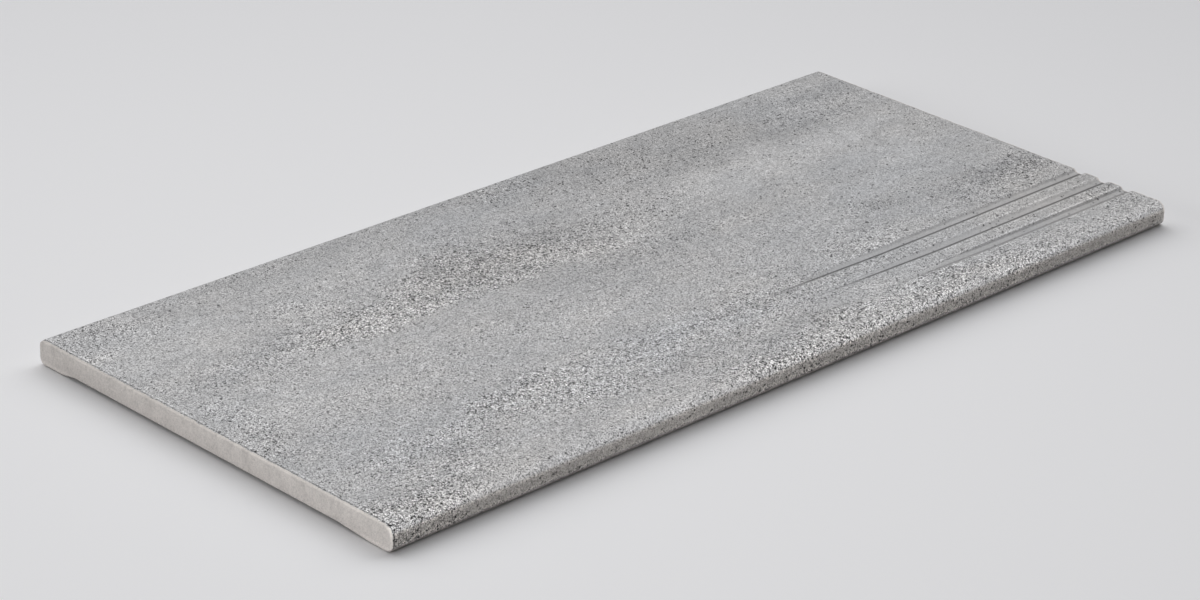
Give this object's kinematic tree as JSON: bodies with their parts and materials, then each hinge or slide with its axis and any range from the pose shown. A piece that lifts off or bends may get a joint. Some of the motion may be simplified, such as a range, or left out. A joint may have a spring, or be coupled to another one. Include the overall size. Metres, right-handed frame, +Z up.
{
  "type": "stair nosing tile",
  "caption": "Flat porcelain stoneware stair tread tile with a rounded front nosing and shallow anti-slip grooves that run out along the front edge.",
  "frame": {"origin": "middle of the bedding side, at the centre of the tile's footprint, on the surface that it lies on", "axes": "+X along the nosing towards the end where the grooves are open, +Y from the nosing to the back edge, +Z up out of the tread face"},
  "size_m": [0.6, 0.27, 0.014],
  "materials": {
    "stoneware": "matt, stone-look print on a bare warm-grey body"
  },
  "bodies": {
    "root": {"stair_tile": "stoneware"}
  },
  "joints": []
}
